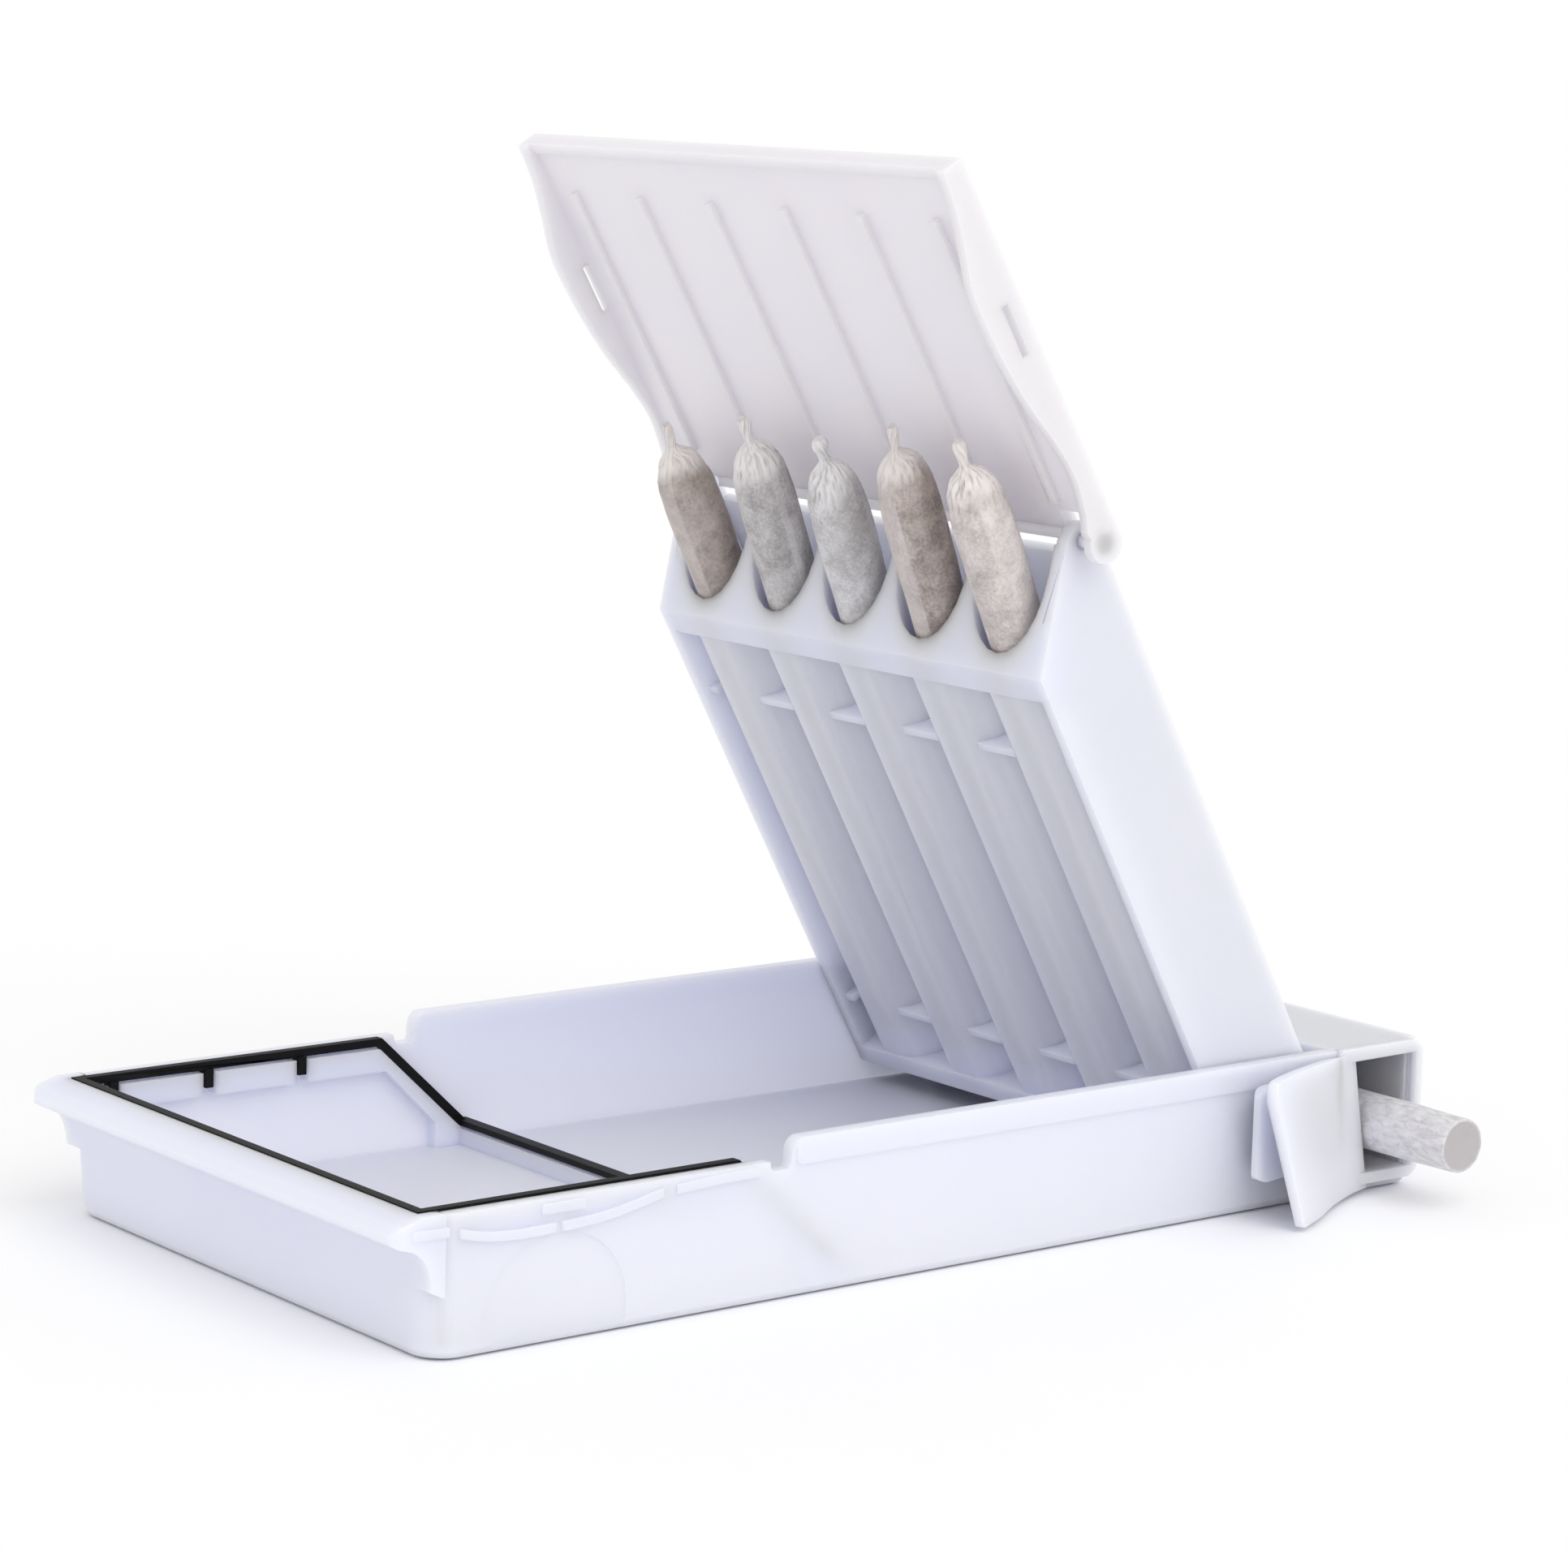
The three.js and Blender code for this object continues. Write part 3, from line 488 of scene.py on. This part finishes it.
def rolled_paper(number):
    """One paper tube: its shoulder pleated in and its end twisted shut."""
    look = STICK_LOOKS[number]
    line = StickLine(number)
    length = line.length
    radius, neck, nub = sizes().paper, sizes().neck, sizes().twist
    collar = length - nub
    body = [(radius * 0.995, z * MM) for z in (0.3, 4, 8, 12, 16, 20)]
    first, last = 22 * MM, collar - 7.5 * MM
    body += [(radius, first + (last - first) * i / BODY_STEPS) for i in range(BODY_STEPS + 1)]
    shoulder = [(radius * share, collar - down * MM) for down, share in SHOULDER]
    shape = look["nub"]
    tip = [(neck, collar), (neck, collar + 0.3 * MM), (neck * 1.05, collar + 0.6 * MM),
           (neck * 1.12, collar + 0.95 * MM), (shape * MM, collar + 1.35 * MM),
           (shape * 1.04 * MM, collar + 1.75 * MM), (shape * 0.92 * MM, collar + 2.1 * MM),
           (shape * 0.6 * MM, length - 0.08 * MM), (shape * 0.25 * MM, length - 0.16 * MM)]
    piece = ring_stack([(radius * 0.93, 0.0)] + body + shoulder + tip, STICK_SIDES)
    mesh = piece.data
    layers = mesh.attributes.new("layers", "FLOAT", "POINT")
    painted_pleat_shades = mesh.attributes.new("fold", "FLOAT", "POINT")
    seam_from, seam_to, hides = look["double"]
    seed = Vector((number * 7.3, number * 3.1, 0))
    for index, vertex in enumerate(mesh.vertices):
        x, y, z = vertex.co
        angle, reach = math.atan2(y, x), math.hypot(x, y)
        in_shoulder = smooth_step(collar - 6.5 * MM, collar - 1.4 * MM, z)
        in_neck = smooth_step(collar - 1.2 * MM, collar + 0.2 * MM, z)
        # Pleats: ridges that gather towards the neck and turn with the twist.
        turn = look["turns"] * (2.6 * in_shoulder**2 + 3 * in_neck)
        around = Vector((math.cos(angle + turn), math.sin(angle + turn), 0))
        wander = noise.noise(around * 1.3 + Vector((0, 0, z / (5 * MM))) + seed)
        wave = noise.noise(around * 3.1 + Vector((0, 0, 0.25 * z / MM * (1 - in_shoulder))) + seed)
        ridge = abs(math.sin(PLEATS * (angle + turn) + 2.6 * wander + 4 * wave + number))
        big = 0.5 + 0.9 * abs(noise.noise(around * 1.1 - seed))
        pleat = in_shoulder * (1 - 0.55 * in_neck) * big
        reach += (ridge - 0.6) * pleat * PLEAT_DEPTH
        # The roll is never quite round: slow dents along the body.
        dent = noise.noise(Vector((x, y, z * 0.5)) / (3.2 * MM) + seed)
        soft = 1 - in_neck
        reach *= 1 + DENT * dent * soft
        fine = noise.noise(Vector((x, y, z)) / (1.1 * MM) - seed)
        reach += fine * FINE_DENT * soft
        reach = min(reach, radius * WIDEST)
        seam = (math.degrees(angle) - seam_from) * (math.degrees(angle) - seam_to) < 0
        if seam:
            reach += SEAM_STEP * soft
        flat = 1 - (1 - look["flat"]) * in_neck
        spiral = angle + look["turns"] * 2.4 * in_neck * (z - collar) / nub
        lean = in_neck * (z - collar) / nub
        x = reach * math.cos(spiral) + look["lean"][0] * MM * lean
        y = reach * math.sin(spiral) * flat + look["lean"][1] * MM * lean
        # The channel presses the paper round and a little thinner.
        pressed = 1 - smooth_step(line.mouth + 4 * MM, line.mouth + 9 * MM, z)
        reach = math.hypot(x, y)
        if reach > radius * HELD:
            held = 1 - pressed * (1 - radius * HELD / reach)
            x, y = x * held, y * held
        vertex.co = (x, y, z)
        patch = noise.noise(Vector((x, y, z * 0.6)) / (2.6 * MM) + 2 * seed)
        cover = 0.1 + 0.2 * max(patch, 0)
        if seam:
            cover = max(cover, hides * (0.85 + 0.3 * patch))
        cover = max(cover, 0.92 * smooth_step(collar - 4.6 * MM, collar - 1.6 * MM,
                                              z + 1.6 * MM * patch))
        if z < CARD_END:
            cover = 0.95
        layers.data[index].value = min(max(cover, 0), 1)
        # Painted shade: how deep a point lies in a pleat valley, stored so the material darkens it.
        valley_shade = max(0.42 - ridge, 0) / 0.42 * pleat
        painted_pleat_shades.data[index].value = min(0.85 * valley_shade, 1)
    for vertex in mesh.vertices:
        vertex.co = line.place(vertex.co)
    only(piece)
    bpy.ops.object.shade_smooth()
    material = filled_paper(f"filled rolling paper {number}", linear(look["dark"]),
                            linear(look["light"]), linear(look["veil"]))
    settle(piece, f"rolled_stick_{number}", f"stick_{number}", material,
           f"filled_stick_{number}")


# ---- Operators ----
class PieceOperator:
    """What the operators that build pieces share."""

    bl_options = {"REGISTER", "UNDO"}

    def execute(self, context):
        self.build()
        return {"FINISHED"}


class CASE_OT_tray(PieceOperator, bpy.types.Operator):
    """Finish the tray with its compartment, walls and drawer tunnel"""

    bl_idname = "stick_case.tray"
    bl_label = "Tray"

    def build(self):
        moulding("tray_base", "tray", white_plastic(), sizes().edge)


class CASE_OT_seal(PieceOperator, bpy.types.Operator):
    """Finish the black rubber seal of the compartment"""

    bl_idname = "stick_case.seal"
    bl_label = "Seal"

    def build(self):
        rubber = material_once(silicone_rubber, "black silicone rubber")
        moulding("compartment_gasket", "tray", rubber, sizes().soft_edge)


class CASE_OT_cartridge(PieceOperator, bpy.types.Operator):
    """Finish the five-channel cartridge, its back plate and its hinge pins"""

    bl_idname = "stick_case.cartridge"
    bl_label = "Cartridge"

    def build(self):
        edge = sizes().edge
        for node in ("cartridge_body", "cartridge_back_plate", "cartridge_hinge_pin_near",
                     "cartridge_hinge_pin_far", "lid_hinge_pin_near", "lid_hinge_pin_far"):
            moulding(node, "cartridge", white_plastic(), edge)


class CASE_OT_lid(PieceOperator, bpy.types.Operator):
    """Finish the flip lid"""

    bl_idname = "stick_case.lid"
    bl_label = "Lid"

    def build(self):
        moulding("lid", "lid", lid_plastic(), sizes().edge)


class CASE_OT_sticks(PieceOperator, bpy.types.Operator):
    """Roll the five filled sticks in the channels"""

    bl_idname = "stick_case.sticks"
    bl_label = "Filled sticks"

    def build(self):
        for number in STICK_NUMBERS:
            rolled_paper(number)


class CASE_OT_card_tips(PieceOperator, bpy.types.Operator):
    """Roll the card tips inside the sticks' lower ends"""

    bl_idname = "stick_case.card_tips"
    bl_label = "Card tips"

    def build(self):
        card = material_once(filter_card, "calendered filter card")
        for number in STICK_NUMBERS:
            node = f"stick_{number}_card_tip"
            moulding(node, f"stick_{number}", card, sizes().soft_edge)


class CASE_OT_drawer(PieceOperator, bpy.types.Operator):
    """Finish the end drawer: its sleeve, its front with the finger wing, and the latch leaf"""

    bl_idname = "stick_case.drawer"
    bl_label = "Drawer"

    def build(self):
        for node in ("drawer_sleeve", "drawer_front", "latch_leaf"):
            moulding(node, "drawer", white_plastic(), sizes().edge)


class CASE_OT_spare_stick(PieceOperator, bpy.types.Operator):
    """Roll the loose grey stick in the end drawer"""

    bl_idname = "stick_case.spare_stick"
    bl_label = "Loose stick"

    def build(self):
        low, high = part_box("spare_stick")
        radius, length = (high.z - low.z) / 2, high.y - low.y
        steps, sides = 34, 72
        ends = [(0.955, 0.0), (0.985, 0.12), (0.998, 0.35)]
        rings = [(radius * 0.5, 0.2 * MM), (radius * 0.86, 0.05 * MM)]
        rings += [(radius * share, z * MM) for share, z in ends]
        rings += [(radius, (1 + (length / MM - 2) * i / steps) * MM) for i in range(steps + 1)]
        rings += [(radius * share, length - z * MM) for share, z in reversed(ends)]
        rings += [(radius * 0.86, length - 0.05 * MM)]
        piece = ring_stack(rings, sides)
        faces = piece.data.attributes.new("end_face", "FLOAT", "POINT")
        for index, vertex in enumerate(piece.data.vertices):
            x, y, z = vertex.co
            reach = math.hypot(x, y)
            faces.data[index].value = 1.0 if reach < radius * 0.9 else 0.0
            dent = noise.noise(Vector((x, y, z * 0.35)) / (2.2 * MM))
            crush = 1 - 0.04 * smooth_step(length - 9 * MM, length, length - z)
            share = min(1 + 0.035 * dent, 1.0)
            ragged = 0.12 * MM * noise.noise(Vector((x, y, 0)) / (0.9 * MM))
            z += ragged if z < 1 * MM and reach > radius * 0.3 else 0
            vertex.co = (x * share, y * share * crush, max(z, 0))
        only(piece)
        bpy.ops.object.shade_smooth()
        turn = Matrix.Rotation(-math.pi / 2, 4, "X")
        middle = (low + high) / 2
        piece.data.transform(Matrix.Translation((middle.x, low.y, middle.z)) @ turn)
        settle(piece, "loose_stick", "spare",
               material_once(grey_rolled_paper, "ash-grey rolled paper"), "spare_stick")


class CASE_OT_stage(bpy.types.Operator):
    """Set the white floor, the soft light and the camera"""

    bl_idname = "stick_case.stage"
    bl_label = "Stage"
    bl_options = {"REGISTER", "UNDO"}

    def execute(self, context):
        stage = context.scene.stick_case_stage
        bpy.ops.object.select_all(action="DESELECT")
        bpy.ops.mesh.primitive_plane_add(size=stage.floor_size)
        floor = context.object
        floor.name = "studio_floor"
        floor.data.materials.append(studio_floor("matt white sweep"))

        world = bpy.data.worlds.new("studio light")
        world.use_nodes = True
        tree = world.node_tree
        background = tree.nodes["Background"]
        background.inputs["Color"].default_value = (1, 1, 1, 1)
        # The paper behind the object is seen white while the light from all round is softer.
        rays = tree.nodes.new("ShaderNodeLightPath")
        strength = tree.nodes.new("ShaderNodeMapRange")
        strength.inputs["To Min"].default_value = stage.sky
        strength.inputs["To Max"].default_value = stage.backdrop
        tree.links.new(rays.outputs["Is Camera Ray"], strength.inputs["Value"])
        tree.links.new(strength.outputs["Result"], background.inputs["Strength"])
        context.scene.world = world

        lamp = bpy.data.lights.new("soft key", "SUN")
        lamp.energy, lamp.angle = stage.key, stage.softness
        key = bpy.data.objects.new("soft key", lamp)
        key.rotation_mode = "QUATERNION"
        key.rotation_quaternion = Vector(stage.key_way).to_track_quat("-Z", "Y")
        context.scene.collection.objects.link(key)

        level = Vector((math.sin(stage.heading), math.cos(stage.heading), 0))
        look = level * math.cos(stage.dip) - Vector((0, 0, math.sin(stage.dip)))
        right = look.cross(Vector((0, 0, 1))).normalized()
        up = right.cross(look)
        tipped = right * math.cos(stage.roll) + up * math.sin(stage.roll)
        over = tipped.cross(look)
        data = bpy.data.cameras.new("studio camera")
        data.lens, data.sensor_width = stage.lens, 36
        data.clip_start, data.clip_end = 0.01, 50
        camera = bpy.data.objects.new("studio camera", data)
        turn = Matrix((tipped, over, -look)).transposed().to_4x4()
        camera.matrix_world = Matrix.Translation(stage.place) @ turn
        context.scene.collection.objects.link(camera)
        context.scene.camera = camera
        context.scene.view_settings.view_transform = "Standard"
        return {"FINISHED"}


class CASE_PT_panel(bpy.types.Panel):
    """Builds the stick case piece by piece"""

    bl_idname = "CASE_PT_panel"
    bl_label = "Stick case"
    bl_space_type = "VIEW_3D"
    bl_region_type = "UI"
    bl_category = "Stick case"

    def draw(self, context):
        column = self.layout.column(align=True)
        for operator in OPERATORS:
            column.operator(operator.bl_idname)
        for group in (context.scene.stick_case_sizes, context.scene.stick_case_colours,
                      context.scene.stick_case_stage):
            box = self.layout.box()
            for setting in group.bl_rna.properties:
                if setting.identifier not in ("rna_type", "name"):
                    box.prop(group, setting.identifier)


OPERATORS = (CASE_OT_tray, CASE_OT_seal, CASE_OT_cartridge, CASE_OT_lid, CASE_OT_sticks,
             CASE_OT_card_tips, CASE_OT_drawer, CASE_OT_spare_stick, CASE_OT_stage)
GROUPS = {"stick_case_sizes": CaseSizes, "stick_case_colours": CaseColours,
          "stick_case_stage": StageSettings}


def register():
    for group in (*GROUPS.values(), *OPERATORS, CASE_PT_panel):
        bpy.utils.register_class(group)
    for name, group in GROUPS.items():
        setattr(bpy.types.Scene, name, bpy.props.PointerProperty(type=group))


def unregister():
    for name in GROUPS:
        delattr(bpy.types.Scene, name)
    for group in reversed((*GROUPS.values(), *OPERATORS, CASE_PT_panel)):
        bpy.utils.unregister_class(group)


def main():
    register()
    for operator in OPERATORS:
        module, name = operator.bl_idname.split(".")
        getattr(getattr(bpy.ops, module), name)()


if __name__ == "__main__":
    main()
